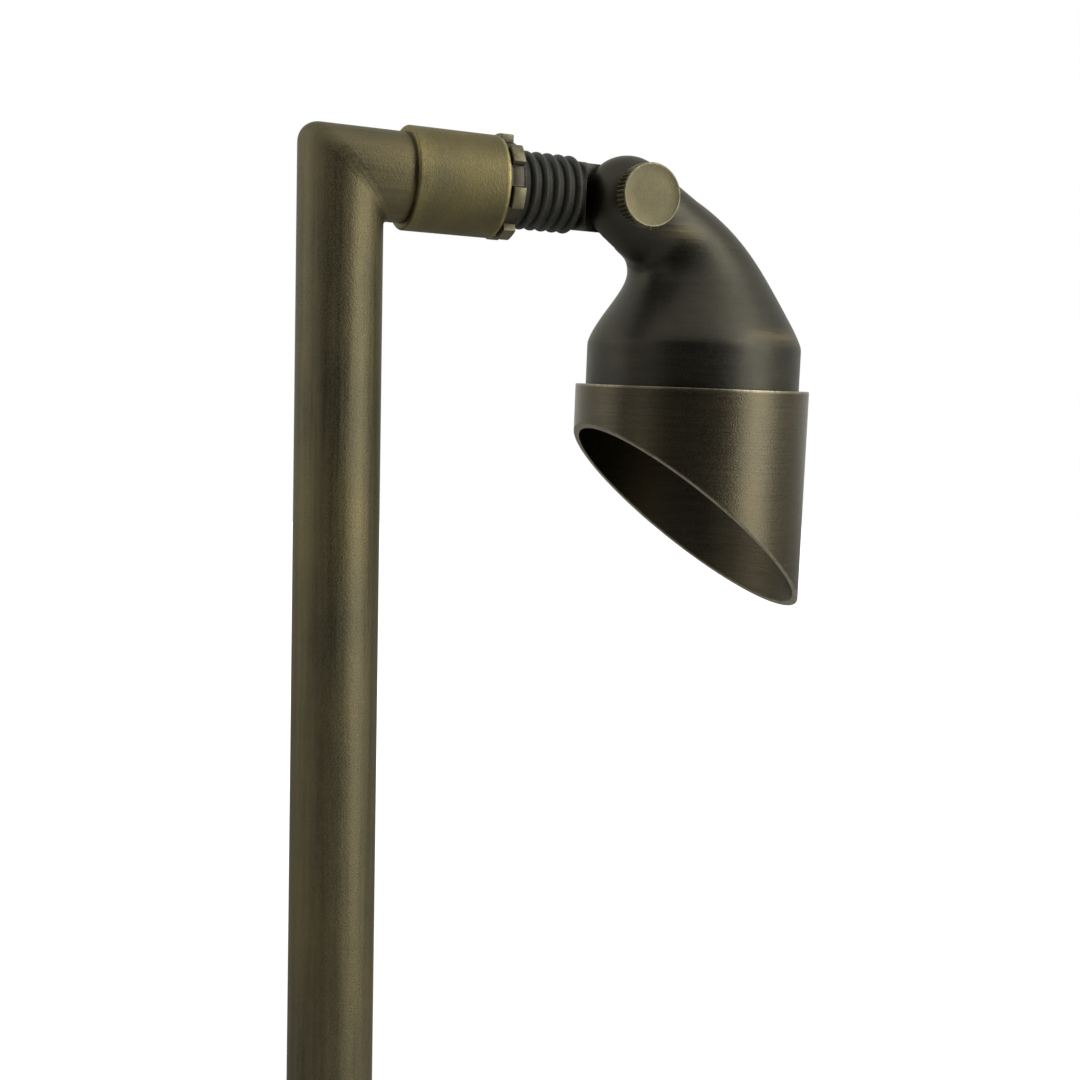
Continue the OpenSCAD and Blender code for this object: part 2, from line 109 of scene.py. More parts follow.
def makeCamera(setup):
    data = bpy.data.cameras.new("camera")
    data.lens = setup["lens"]
    data.sensor_width = 36
    data.clip_start = 0.01
    data.clip_end = 50
    camera = addObject("camera", data)
    turn = Matrix.Rotation(math.radians(-setup["yaw"]), 4, "Z")
    turn = turn @ Matrix.Rotation(math.radians(90 + setup["pitch"]), 4, "X")
    turn = turn @ Matrix.Rotation(math.radians(setup["roll"]), 4, "Z")
    place = armFrame @ (Vector(setup["place"]) * mm)
    camera.matrix_world = Matrix.Translation(place) @ turn
    bpy.context.scene.camera = camera


makeCamera(cameraSetup)


# Small helpers for node trees

def addNode(tree, kind, **settings):
    node = tree.nodes.new(kind)
    for key, value in settings.items():
        setattr(node, key, value)
    return node


def newMaterial(name):
    material = bpy.data.materials.new(name)
    material.use_nodes = True
    return material, material.node_tree, material.node_tree.nodes["Principled BSDF"]


def feed(tree, socket, value):
    if isinstance(value, bpy.types.NodeSocket):
        tree.links.new(value, socket)
    else:
        socket.default_value = value


def mathNode(tree, operation, first, second):
    node = addNode(tree, "ShaderNodeMath", operation=operation)
    feed(tree, node.inputs[0], first)
    feed(tree, node.inputs[1], second)
    return node.outputs[0]


# The colours are sockets or plain red, green and blue
def mixColour(tree, factor, first, second):
    node = addNode(tree, "ShaderNodeMix", data_type="RGBA")
    feed(tree, node.inputs["Factor"], factor)
    for slot, value in ((6, first), (7, second)):
        feed(tree, node.inputs[slot], (*value, 1) if isinstance(value, tuple) else value)
    return node.outputs[2]


def mapRange(tree, value, fromLow, fromHigh, toLow, toHigh):
    node = addNode(tree, "ShaderNodeMapRange")
    tree.links.new(value, node.inputs["Value"])
    for name, number in (("From Min", fromLow), ("From Max", fromHigh),
                         ("To Min", toLow), ("To Max", toHigh)):
        node.inputs[name].default_value = number
    return node.outputs["Result"]


# Stage: floor, world and soft lights

stageSetup = {
    "floorSize": 30.0,
    "floorDrop": 0.4 * mm,
    "floorColour": (0.82, 0.82, 0.82, 1),
    "floorGlowNear": 0.42,  # what the camera adds to the floor under the object
    "floorGlowFar": 1.0,
    "glowFrom": 0.35,
    "glowTo": 1.6,
    "skyColour": (1, 1, 1, 1),
    "fillStrength": 0.32,
}


def makeFloor(setup):
    low = cadBox[0][2] - setup["floorDrop"]
    half = setup["floorSize"] / 2
    corners = [(-half, -half, low), (half, -half, low), (half, half, low), (-half, half, low)]
    floor = meshObject("floor", corners, [(0, 1, 2, 3)])
    material, tree, shader = newMaterial("paleFloor")
    shader.inputs["Base Color"].default_value = setup["floorColour"]
    shader.inputs["Roughness"].default_value = 0.9
    shader.inputs["Specular IOR Level"].default_value = 0.1
    shader.inputs["Emission Color"].default_value = (1, 1, 1, 1)
    place = addNode(tree, "ShaderNodeNewGeometry")
    reach = addNode(tree, "ShaderNodeVectorMath", operation="LENGTH")
    tree.links.new(place.outputs["Position"], reach.inputs[0])
    glow = mapRange(tree, reach.outputs["Value"], setup["glowFrom"], setup["glowTo"],
                    setup["floorGlowNear"], setup["floorGlowFar"])
    path = addNode(tree, "ShaderNodeLightPath")
    seen = mathNode(tree, "MULTIPLY", glow, path.outputs["Is Camera Ray"])
    tree.links.new(seen, shader.inputs["Emission Strength"])
    floor.data.materials.append(material)


def makeWorld(setup):
    world = bpy.data.worlds.new("studio")
    bpy.context.scene.world = world
    world.use_nodes = True
    tree = world.node_tree
    tree.nodes.clear()
    path = addNode(tree, "ShaderNodeLightPath")
    sky = addNode(tree, "ShaderNodeBackground")
    fill = addNode(tree, "ShaderNodeBackground")
    mix = addNode(tree, "ShaderNodeMixShader")
    output = addNode(tree, "ShaderNodeOutputWorld")
    sky.inputs["Color"].default_value = setup["skyColour"]
    fill.inputs["Color"].default_value = setup["skyColour"]
    fill.inputs["Strength"].default_value = setup["fillStrength"]
    mirrored = mathNode(tree, "MAXIMUM", path.outputs["Is Glossy Ray"],
                        path.outputs["Is Transmission Ray"])
    seen = mathNode(tree, "MAXIMUM", mirrored, path.outputs["Is Camera Ray"])
    tree.links.new(seen, mix.inputs[0])
    tree.links.new(fill.outputs[0], mix.inputs[1])
    tree.links.new(sky.outputs[0], mix.inputs[2])
    tree.links.new(mix.outputs[0], output.inputs["Surface"])


# Each light: bearing from -Y towards +X and height in degrees, distance, size and power
lightSetup = {
    "stripRight": {"bearing": 39, "height": 12, "reach": 1.3, "size": (0.7, 1.6), "power": 16},
    "keyTop": {"bearing": 42, "height": 46, "reach": 1.5, "size": (1.1, 0.9), "power": 4.5},
    "fillLeft": {"bearing": -115, "height": 20, "reach": 1.5, "size": (0.9, 1.4), "power": 4},
}
lightTarget = armFrame @ Vector((0.06, 0, -0.06))  # between the post and the head


def makeLight(name, setup):
    data = bpy.data.lights.new(name, "AREA")
    data.shape = "RECTANGLE"
    data.size, data.size_y = setup["size"]
    data.energy = setup["power"]
    lamp = addObject(name, data)
    bearing = math.radians(setup["bearing"])
    height = math.radians(setup["height"])
    way = Vector((math.sin(bearing) * math.cos(height),
                  -math.cos(bearing) * math.cos(height), math.sin(height)))
    lamp.location = lightTarget + way * setup["reach"]
    lamp.rotation_mode = "QUATERNION"
    lamp.rotation_quaternion = way.to_track_quat("Z", "Y")


# A dark studio curtain on the camera's side, which only reflections show
curtainSetup = {"from": -64, "to": 24, "steps": 24, "reach": 1.0, "low": -0.45, "high": 0.75,
                "shade": 0.02}


def makeCurtain(setup):
    steps = setup["steps"]
    points = []
    faces = []
    for i in range(steps + 1):
        bearing = math.radians(setup["from"] + (setup["to"] - setup["from"]) * i / steps)
        x = lightTarget.x + math.sin(bearing) * setup["reach"]
        y = lightTarget.y - math.cos(bearing) * setup["reach"]
        points.append((x, y, lightTarget.z + setup["low"]))
        points.append((x, y, lightTarget.z + setup["high"]))
    for i in range(steps):
        faces.append((2 * i, 2 * i + 2, 2 * i + 3, 2 * i + 1))
    curtain = meshObject("curtain", points, faces)
    material, tree, shader = newMaterial("darkCurtain")
    shade = setup["shade"]
    shader.inputs["Base Color"].default_value = (shade, shade, shade, 1)
    shader.inputs["Roughness"].default_value = 1
    shader.inputs["Specular IOR Level"].default_value = 0
    curtain.data.materials.append(material)
    curtain.visible_camera = False
    curtain.visible_diffuse = False
    curtain.visible_shadow = False
    curtain.visible_transmission = False


makeFloor(stageSetup)
makeWorld(stageSetup)
for lightName, lightValues in lightSetup.items():
    makeLight(lightName, lightValues)
makeCurtain(curtainSetup)
bpy.context.scene.view_settings.view_transform = "Standard"
print("stage and lights ready")


# Shared effects as node groups

def newGroup(name, inputs, outputs):
    group = bpy.data.node_groups.new(name, "ShaderNodeTree")
    for label, kind, value in inputs:
        socket = group.interface.new_socket(label, in_out="INPUT", socket_type=kind)
        if value is not None:
            socket.default_value = value
    for label, kind in outputs:
        group.interface.new_socket(label, in_out="OUTPUT", socket_type=kind)
    start = addNode(group, "NodeGroupInput")
    end = addNode(group, "NodeGroupOutput")
    return group, start.outputs, end.inputs


def noiseNode(tree, vector, scale, detail, roughness):
    node = addNode(tree, "ShaderNodeTexNoise")
    tree.links.new(vector, node.inputs["Vector"])
    feed(tree, node.inputs["Scale"], scale)
    node.inputs["Detail"].default_value = detail
    node.inputs["Roughness"].default_value = roughness
    return node.outputs["Fac"]


def brushMarksGroup():
    group, given, out = newGroup(
        "brushMarks",
        [("Vector", "NodeSocketVector", None), ("Stretch", "NodeSocketVector", (1, 1, 1))],
        [("Marks", "NodeSocketFloat")])
    scaled = addNode(group, "ShaderNodeVectorMath", operation="MULTIPLY")
    group.links.new(given["Vector"], scaled.inputs[0])
    group.links.new(given["Stretch"], scaled.inputs[1])
    marks = noiseNode(group, scaled.outputs[0], 1.0, detail=5.0, roughness=0.62)
    group.links.new(marks, out["Marks"])
    return group


def patinaGroup():
    group, given, out = newGroup(
        "patina",
        [("Vector", "NodeSocketVector", None), ("Cloud Scale", "NodeSocketFloat", 40.0),
         ("Patch Scale", "NodeSocketFloat", 400.0), ("Speck Scale", "NodeSocketFloat", 1800.0)],
        [("Cloud", "NodeSocketFloat"), ("Patch", "NodeSocketFloat"),
         ("Speck", "NodeSocketFloat")])
    cloud = noiseNode(group, given["Vector"], given["Cloud Scale"], detail=3.0, roughness=0.5)
    patch = noiseNode(group, given["Vector"], given["Patch Scale"], detail=3.0, roughness=0.6)
    speck = noiseNode(group, given["Vector"], given["Speck Scale"], detail=2.0, roughness=0.6)
    group.links.new(mapRange(group, cloud, 0.32, 0.68, 0.0, 1.0), out["Cloud"])
    group.links.new(mapRange(group, patch, 0.3, 0.7, 0.0, 1.0), out["Patch"])
    group.links.new(mapRange(group, speck, 0.28, 0.72, 0.0, 1.0), out["Speck"])
    return group


def edgeWearGroup():
    group, given, out = newGroup(
        "edgeWear",
        [("Radius", "NodeSocketFloat", 0.0005), ("Noise", "NodeSocketFloat", 0.5),
         ("Painted", "NodeSocketFloat", 0.0)],
        [("Mask", "NodeSocketFloat")])
    bevel = addNode(group, "ShaderNodeBevel", samples=6)
    group.links.new(given["Radius"], bevel.inputs["Radius"])
    plain = addNode(group, "ShaderNodeNewGeometry")
    dot = addNode(group, "ShaderNodeVectorMath", operation="DOT_PRODUCT")
    group.links.new(bevel.outputs["Normal"], dot.inputs[0])
    group.links.new(plain.outputs["Normal"], dot.inputs[1])
    edge = mapRange(group, dot.outputs["Value"], 0.995, 0.85, 0.0, 0.6)
    edge = mathNode(group, "MAXIMUM", edge, given["Painted"])
    rough = mapRange(group, given["Noise"], 0.2, 0.7, 0.55, 1.0)
    group.links.new(mathNode(group, "MULTIPLY", edge, rough), out["Mask"])
    return group


# Mask of a painted highlight: a squashed patch streaked by the given noise
def paintedHighlightGroup():
    group, given, out = newGroup(
        "paintedHighlight",
        [("Vector", "NodeSocketVector", None), ("Place", "NodeSocketVector", (0, 0, 0)),
         ("Squash", "NodeSocketVector", (1, 1, 1)), ("Reach", "NodeSocketFloat", 0.005),
         ("Noise", "NodeSocketFloat", 0.5)],
        [("Mask", "NodeSocketFloat")])
    away = addNode(group, "ShaderNodeVectorMath", operation="SUBTRACT")
    group.links.new(given["Vector"], away.inputs[0])
    group.links.new(given["Place"], away.inputs[1])
    shaped = addNode(group, "ShaderNodeVectorMath", operation="MULTIPLY")
    group.links.new(away.outputs[0], shaped.inputs[0])
    group.links.new(given["Squash"], shaped.inputs[1])
    length = addNode(group, "ShaderNodeVectorMath", operation="LENGTH")
    group.links.new(shaped.outputs[0], length.inputs[0])
    share = mathNode(group, "DIVIDE", length.outputs["Value"], given["Reach"])
    near = mapRange(group, share, 1.0, 0.15, 0.0, 1.0)
    streaky = mapRange(group, given["Noise"], 0.3, 0.7, 0.15, 1.0)
    group.links.new(mathNode(group, "MULTIPLY", near, streaky), out["Mask"])
    return group


brushMarks = brushMarksGroup()
patina = patinaGroup()
edgeWear = edgeWearGroup()
paintedHighlight = paintedHighlightGroup()


def placeGroup(tree, group, **values):
    node = addNode(tree, "ShaderNodeGroup", node_tree=group)
    for key, value in values.items():
        feed(tree, node.inputs[key], value)
    return node.outputs


def placePatina(tree, source, scales):
    cloudScale, patchScale, speckScale = scales
    return placeGroup(tree, patina, Vector=source,
                      **{"Cloud Scale": cloudScale, "Patch Scale": patchScale,
                         "Speck Scale": speckScale})


def addBump(tree, shader, height, depth):
    bump = addNode(tree, "ShaderNodeBump")
    bump.inputs["Strength"].default_value = 1.0
    bump.inputs["Distance"].default_value = depth
    tree.links.new(height, bump.inputs["Height"])
    tree.links.new(bump.outputs["Normal"], shader.inputs["Normal"])


# Metals of the body: dark base, lighter rubbed tone, brass that shows at edges. The scales are
# of cloud, patch and speck, the shares of brush marks, cloud, patch and speck, the bump in mm.

metalSetup = {
    "postBrass": {
        "flow": "attribute", "stretch": (620, 620, 22), "scales": (34, 420, 2300),
        "dark": (0.048, 0.043, 0.025), "light": (0.13, 0.114, 0.065), "warm": (0.154, 0.119, 0.05),
        "warmShare": 0.4, "edge": (0.2, 0.165, 0.08), "rim": (0.75, 0.75, 0.7, 1),
        "shares": (0.5, 0.12, 0.1, 0.28), "metallic": 0.9, "roughness": (0.43, 0.56), "bump": 0.07},
    "shroudBrass": {
        "flow": "attribute", "stretch": (60, 60, 2400), "scales": (36, 420, 2600),
        "dark": (0.046, 0.041, 0.028), "light": (0.09, 0.079, 0.051), "warm": (0.112, 0.088, 0.043),
        "warmShare": 0.35, "edge": (0.3, 0.265, 0.18), "rim": (0.9, 0.9, 0.85, 1),
        "shares": (0.55, 0.15, 0.1, 0.2), "metallic": 0.95, "roughness": (0.29, 0.39), "bump": 0.05},
    "darkBronze": {
        "flow": "head", "stretch": (60, 60, 1300), "scales": (48, 420, 2400),
        "dark": (0.024, 0.0232, 0.0178), "light": (0.054, 0.052, 0.04), "warm": (0.07, 0.058, 0.034),
        "warmShare": 0.25, "edge": (0.12, 0.098, 0.055), "rim": (0.8, 0.8, 0.76, 1),
        "shares": (0.25, 0.25, 0.15, 0.35), "metallic": 0.95, "roughness": (0.38, 0.47), "bump": 0.025},
    "shankBronze": {
        "flow": "object", "stretch": (300, 40, 40), "scales": (60, 420, 2400),
        "dark": (0.016, 0.0148, 0.012), "light": (0.034, 0.031, 0.025), "warm": (0.038, 0.031, 0.022),
        "warmShare": 0.3, "edge": (0.045, 0.04, 0.03), "rim": (0.6, 0.6, 0.56, 1),
        "shares": (0.3, 0.3, 0.2, 0.2), "metallic": 0.95, "roughness": (0.36, 0.46), "bump": 0.03},
    "couplingBrass": {
        "flow": "object", "stretch": (1500, 90, 90), "scales": (70, 620, 2600),
        "dark": (0.066, 0.058, 0.031), "light": (0.122, 0.107, 0.055), "warm": (0.17, 0.13, 0.046),
        "warmShare": 0.5, "edge": (0.32, 0.27, 0.115), "rim": (0.8, 0.8, 0.74, 1),
        "shares": (0.4, 0.15, 0.2, 0.25), "metallic": 0.92, "roughness": (0.44, 0.58), "bump": 0.08},
    "nutBronze": {
        "flow": "object", "stretch": (900, 200, 200), "scales": (90, 700, 2600),
        "dark": (0.034, 0.031, 0.023), "light": (0.06, 0.055, 0.04), "warm": (0.075, 0.062, 0.036),
        "warmShare": 0.35, "edge": (0.145, 0.132, 0.078), "rim": (0.8, 0.8, 0.74, 1),
        "shares": (0.3, 0.2, 0.25, 0.25), "metallic": 0.92, "roughness": (0.42, 0.52), "bump": 0.03},
    "knobBrass": {
        "flow": "head", "stretch": (260, 260, 260), "scales": (160, 1100, 3200),
        "dark": (0.07, 0.062, 0.035), "light": (0.105, 0.094, 0.056), "warm": (0.125, 0.102, 0.05),
        "warmShare": 0.4, "edge": (0.21, 0.19, 0.12), "rim": (0.8, 0.8, 0.74, 1),
        "shares": (0.1, 0.15, 0.3, 0.45), "metallic": 0.9, "roughness": (0.42, 0.52), "bump": 0.05},
}
edgeRadius = 0.4 * mm
# Painted highlights: lighter brass patches streaked along the brush marks, mm in the head's frame
paintedHighlightSpots = [
    {"place": (11.5, -15.0, -9.0), "squash": (0.8, 1, 1.7), "reach": 6.5},
    {"place": (40.0, -24.0, -36.0), "squash": (0.5, 0.5, 3.0), "reach": 9.0},
]
# Painted shade darkens the shank's neck up to the lap, and painted light makes the lap's cut faces
# paler; x in mm, share
shankShadeAndLightBands = (
    {"from": 62.6, "to": 65.4, "share": 0.7, "colour": (0.0035, 0.003, 0.0025)},
    {"from": 65.9, "to": 67.2, "share": 0.9, "colour": (0.10, 0.093, 0.077)},
)
# The dark line in the elbow's mitre, broken up by patches: least and greatest share
seamTone = {"colour": (0.012, 0.010, 0.007), "shares": (0.15, 0.55)}


def weighted(tree, values, shares):
    total = mathNode(tree, "MULTIPLY", values[0], shares[0])
    for value, share in zip(values[1:], shares[1:]):
        total = mathNode(tree, "ADD", total, mathNode(tree, "MULTIPLY", value, share))
    return total


def agedMetal(name, setup):
    material, tree, shader = newMaterial(name)
    if setup["flow"] == "attribute":
        source = addNode(tree, "ShaderNodeAttribute", attribute_name="flow").outputs["Vector"]
    else:
        source = addNode(tree, "ShaderNodeTexCoord").outputs["Object"]
    if setup["flow"] == "head":
        shift = addNode(tree, "ShaderNodeVectorMath", operation="SUBTRACT")
        tree.links.new(source, shift.inputs[0])
        shift.inputs[1].default_value = hingePlace
        turn = addNode(tree, "ShaderNodeMapping", vector_type="POINT")
        turn.inputs["Rotation"].default_value = headFrame.to_3x3().inverted().to_euler()
        tree.links.new(shift.outputs[0], turn.inputs["Vector"])
        source = turn.outputs["Vector"]
    marks = placeGroup(tree, brushMarks, Vector=source, Stretch=setup["stretch"])
    cloud = placePatina(tree, source, setup["scales"])
    brush = mapRange(tree, marks["Marks"], 0.32, 0.68, 0, 1)
    tone = weighted(tree, (brush, cloud["Cloud"], cloud["Patch"], cloud["Speck"]),
                    setup["shares"])
    colour = mixColour(tree, tone, setup["dark"], setup["light"])
    warmth = mathNode(tree, "MULTIPLY", cloud["Cloud"], setup["warmShare"])
    colour = mixColour(tree, warmth, colour, setup["warm"])
    if name == "darkBronze":
        # Painted highlights in the edge colour, on the side where the bronze catches the light
        for spot in paintedHighlightSpots:
            mask = placeGroup(tree, paintedHighlight, Vector=source, Noise=marks["Marks"],
                              Place=tuple(value * mm for value in spot["place"]),
                              Squash=spot["squash"], Reach=spot["reach"] * mm)
            colour = mixColour(tree, mask["Mask"], colour, setup["edge"])
    # Painted shade by the knuckle's gap, then painted light on the lap's cut faces, banded along x
    if name == "shankBronze":
        split = addNode(tree, "ShaderNodeSeparateXYZ")
        tree.links.new(source, split.inputs[0])
        for band in shankShadeAndLightBands:
            share = mapRange(tree, split.outputs["X"], band["from"] * mm, band["to"] * mm,
                             0.0, band["share"])
            colour = mixColour(tree, share, colour, band["colour"])
    if name == "postBrass":
        seam = addNode(tree, "ShaderNodeAttribute", attribute_name="seam").outputs["Fac"]
        broken = mapRange(tree, cloud["Patch"], 0.2, 0.7, *seamTone["shares"])
        seam = mathNode(tree, "MULTIPLY", seam, broken)
        colour = mixColour(tree, seam, colour, seamTone["colour"])
    painted = addNode(tree, "ShaderNodeAttribute", attribute_name="wear").outputs["Fac"]
    wear = placeGroup(tree, edgeWear, Radius=edgeRadius, Noise=cloud["Patch"], Painted=painted)
    colour = mixColour(tree, wear["Mask"], colour, setup["edge"])
    tree.links.new(colour, shader.inputs["Base Color"])
    shader.inputs["Metallic"].default_value = setup["metallic"]
    shader.inputs["Specular Tint"].default_value = setup["rim"]
    grain = weighted(tree, (marks["Marks"], cloud["Speck"]), (0.5, 0.5))
    rough = mapRange(tree, grain, 0.3, 0.7, *setup["roughness"])
    tree.links.new(rough, shader.inputs["Roughness"])
    addBump(tree, shader, grain, setup["bump"] * mm)
    return material


# Other finishes: rubber, glass, the parts of the lamp and plain steel

glassSetup = {"colour": (0.93, 0.96, 0.95, 1), "roughness": 0.03, "ior": 1.5}
mottledSetup = {
    "rubber": {"dark": (0.009, 0.0088, 0.006), "light": (0.031, 0.030, 0.021), "scale": 120.0,
               "metallic": 0, "roughness": (0.44, 0.58), "bump": 0.02, "specular": 0.28},
    "reflector": {"dark": (0.55, 0.56, 0.58), "light": (0.78, 0.79, 0.80), "scale": 150.0,
                  "metallic": 1, "roughness": (0.10, 0.2), "bump": 0.05, "specular": 0.5},
    "chip": {"dark": (0.62, 0.42, 0.06), "light": (0.85, 0.68, 0.16), "scale": 400.0,
             "metallic": 0, "roughness": (0.4, 0.6), "bump": 0.03, "specular": 0.5},
    "ceramic": {"dark": (0.55, 0.53, 0.48), "light": (0.74, 0.73, 0.69), "scale": 200.0,
                "metallic": 0, "roughness": (0.45, 0.65), "bump": 0.02, "specular": 0.5},
    "steel": {"dark": (0.30, 0.30, 0.31), "light": (0.50, 0.50, 0.50), "scale": 180.0,
              "metallic": 1, "roughness": (0.25, 0.42), "bump": 0.01, "specular": 0.5},
}


def mottled(name, setup):
    material, tree, shader = newMaterial(name)
    source = addNode(tree, "ShaderNodeTexCoord").outputs["Object"]
    scale = setup["scale"]
    cloud = placePatina(tree, source, (scale, scale * 6, scale * 30))
    tone = weighted(tree, (cloud["Cloud"], cloud["Patch"], cloud["Speck"]), (0.4, 0.35, 0.25))
    colour = mixColour(tree, tone, setup["dark"], setup["light"])
    tree.links.new(colour, shader.inputs["Base Color"])
    shader.inputs["Metallic"].default_value = setup["metallic"]
    shader.inputs["Specular IOR Level"].default_value = setup["specular"]
    rough = mapRange(tree, cloud["Speck"], 0.3, 0.7, *setup["roughness"])
    tree.links.new(rough, shader.inputs["Roughness"])
    addBump(tree, shader, cloud["Speck"], setup["bump"] * mm)
    return material


def clearGlass(setup):
    material, tree, shader = newMaterial("clearGlass")
    shader.inputs["Base Color"].default_value = setup["colour"]
    shader.inputs["Roughness"].default_value = setup["roughness"]
    shader.inputs["IOR"].default_value = setup["ior"]
    shader.inputs["Transmission Weight"].default_value = 1
    return material


finishes = {name: agedMetal(name, setup) for name, setup in metalSetup.items()}
for finishName, finishValues in mottledSetup.items():
    finishes[finishName] = mottled(finishName, finishValues)
finishes["glass"] = clearGlass(glassSetup)

nodeFinish = {
    "post": "postBrass", "arm": "postBrass", "base_nipple": "shankBronze",
    "wire_grommet": "rubber", "coupling": "couplingBrass", "coupling_seal": "nutBronze",
    "lock_nut": "nutBronze", "swivel_shank": "shankBronze", "ribbed_sleeve": "rubber",
    "friction_washer": "rubber", "thumbscrew": "knobBrass", "thumbscrew_washer": "knobBrass",
    "housing": "darkBronze", "barrel_ring": "rubber", "shroud": "shroudBrass", "lens": "glass",
    "lens_gasket": "rubber", "lens_ring": "darkBronze", "lamp_reflector": "reflector",
    "lamp_chip": "chip", "lamp_base": "ceramic", "lamp_pins": "steel",
    "lamp_socket": "ceramic", "socket_strap": "steel", "strap_screws": "steel",
    "socket_leads": "rubber",
}
for nodeName, obj in nodes.items():
    for slot in obj.material_slots:
        slot.material = finishes[nodeFinish[nodeName]]
print("materials ready:", len(finishes))


# Building pieces

def setShares(mesh, label, values):
    attribute = mesh.attributes.new(label, "FLOAT", "POINT")
    attribute.data.foreach_set("value", values)


def shadeSmooth(mesh, sharp):
    mesh.shade_smooth()
    mesh.set_sharp_from_angle(angle=math.radians(sharp))


def addPiece(name, points, faces, finish, body, replaced, sharp, flow=None,
             wear=None, seam=None):
    obj = meshObject(name, points, faces)
    mesh = obj.data
    if flow:
        attribute = mesh.attributes.new("flow", "FLOAT_VECTOR", "POINT")
        attribute.data.foreach_set("vector", [value for row in flow for value in row])
    if wear:
        setShares(mesh, "wear", wear)
    if seam:
        setShares(mesh, "seam", seam)
    shadeSmooth(mesh, sharp)
    mesh.materials.append(finishes[finish])
    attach(obj, body)
    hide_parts(*replaced)
    return obj


def bake(obj):
    depsgraph = bpy.context.evaluated_depsgraph_get()
    mesh = bpy.data.meshes.new_from_object(obj.evaluated_get(depsgraph))
    obj.modifiers.clear()
    old = obj.data
    obj.data = mesh
    bpy.data.meshes.remove(old)


def ringFaces(rows, count, closed):
    faces = []
    last = rows if closed else rows - 1
    for i in range(last):
        here = i * count
        there = (i + 1) % rows * count
        for j in range(count):
            k = (j + 1) % count
            faces.append((here + j, here + k, there + k, there + j))
    return faces


def cappedFaces(rows, count):
    faces = ringFaces(rows, count, False)
    last = (rows - 1) * count
    faces.append(tuple(range(count))[::-1])
    faces.append(tuple(range(last, last + count)))
    return faces


def circle(radius, count):
    angles = [2 * math.pi * j / count for j in range(count)]
    return [(radius * math.cos(angle), radius * math.sin(angle)) for angle in angles]


def aroundArm(profile, count):
    return [(x, a, armHeight + b) for x, radius in profile for a, b in circle(radius, count)]


# Post and arm as one brazed elbow, whose mitre is ground round on the outside

elbowSetup = {
    "wall": 2.0,
    "outsideRound": 4.6,  # corner radius of the outermost line along the tube
    "insideRound": 1.9,
    "roundPower": 1.7,
    "endBevel": 0.4,
    "sides": 128,
    "arcSteps": 14,
    "sharp": 40,  # degrees; here and below, edges over this angle stay crisp
    "seamMiddle": -0.27,  # cosine round the tube where the mitre's line is darkest
    "seamReach": 0.55,
}


def makeElbow(setup):
    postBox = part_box("post")
    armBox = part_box("arm")
    postRadius = (postBox[1][1] - postBox[0][1]) / 2
    armRadius = (armBox[1][1] - armBox[0][1]) / 2
    armEnd = armBox[1][0]
    bevel = setup["endBevel"] * mm
    steps = setup["arcSteps"]
    count = setup["sides"]

    def rows(depth):
        made = []
        inner = depth > 0
        trim = 0 if inner else bevel
        # kind, share along it or length from its end, cut off the radius
        stations = [("post", 0.0, trim)]
        if trim:
            stations.append(("postTrim", trim, 0.0))
        stations += [("post", share, 0.0) for share in (0.25, 0.5, 0.75, 0.95)]
        stations += [("arc", i / steps, 0.0) for i in range(steps + 1)]
        stations.append(("arm", 0.5, 0.0))
        if trim:
            stations.append(("armTrim", trim, 0.0))
        stations.append(("arm", 1.0, trim))
        for kind, value, cut in stations:
            row = []
            for j in range(count):
                angle = 2 * math.pi * j / count
                u = math.cos(angle)
                v = math.sin(angle)
                rp = postRadius - depth - cut
                ra = armRadius - depth - cut
                r = setup["insideRound"]
                if not inner:
                    r += (setup["outsideRound"] - r) * ((1 + u) / 2) ** setup["roundPower"]
                r *= mm
                cornerX = -u * rp
                cornerZ = armHeight + u * ra
                if kind in ("post", "postTrim"):
                    z = value if kind == "postTrim" else value * (cornerZ - r)
                    point = (cornerX, v * rp, z)
                    travel = z
                elif kind == "arc":
                    turn = value * math.pi / 2
                    x = cornerX + r - r * math.cos(turn)
                    z = cornerZ - r + r * math.sin(turn)
                    point = (x, v * (rp + (ra - rp) * value), z)
                    travel = z + (x - cornerX) - u * ra
                else:
                    start = cornerX + r
                    x = armEnd - value if kind == "armTrim" else start + value * (armEnd - start)
                    point = (x, v * ra, cornerZ)
                    travel = armHeight + x + u * rp
                onSeam = kind == "arc" and abs(value - 0.5) < 0.01 and not inner
                away = (u - setup["seamMiddle"]) / setup["seamReach"]
                share = max(0.0, 1 - away ** 2) if onSeam else 0.0
                row.append((point, (u * rp, v * rp, travel), share))
            made.append(row)
        return made

    allRows = rows(0.0) + rows(setup["wall"] * mm)[::-1]
    points = [point for row in allRows for point, flow, seam in row]
    flows = [flow for row in allRows for point, flow, seam in row]
    seams = [seam for row in allRows for point, flow, seam in row]
    faces = ringFaces(len(allRows), count, True)
    return addPiece("elbow", points, faces, "postBrass", "post_body",
                    ("post", "arm"), setup["sharp"], flow=flows, seam=seams)


makeElbow(elbowSetup)
print("elbow made")


# Shroud with a rounded rim on its slanted mouth; lengths in mm, drops from the hinge

shroudSetup = {
    "axis": 24.9,
    "radius": 33.5,
    "bore": 31.0,
    "wall": 1.6,
    "ledgeRadius": 28.0,
    "top": 50.9,
    "short": 11.3,
    "long": 64.2,
    "ledgeTop": 56.4,
    "ledgeUnder": 57.8,
    "bevel": 0.3,
    "rimBevel": 0.22,
    "rimGap": 1.0,  # from the last row of the wall to the mouth
    "sides": 256,
    "sharp": 40,
}


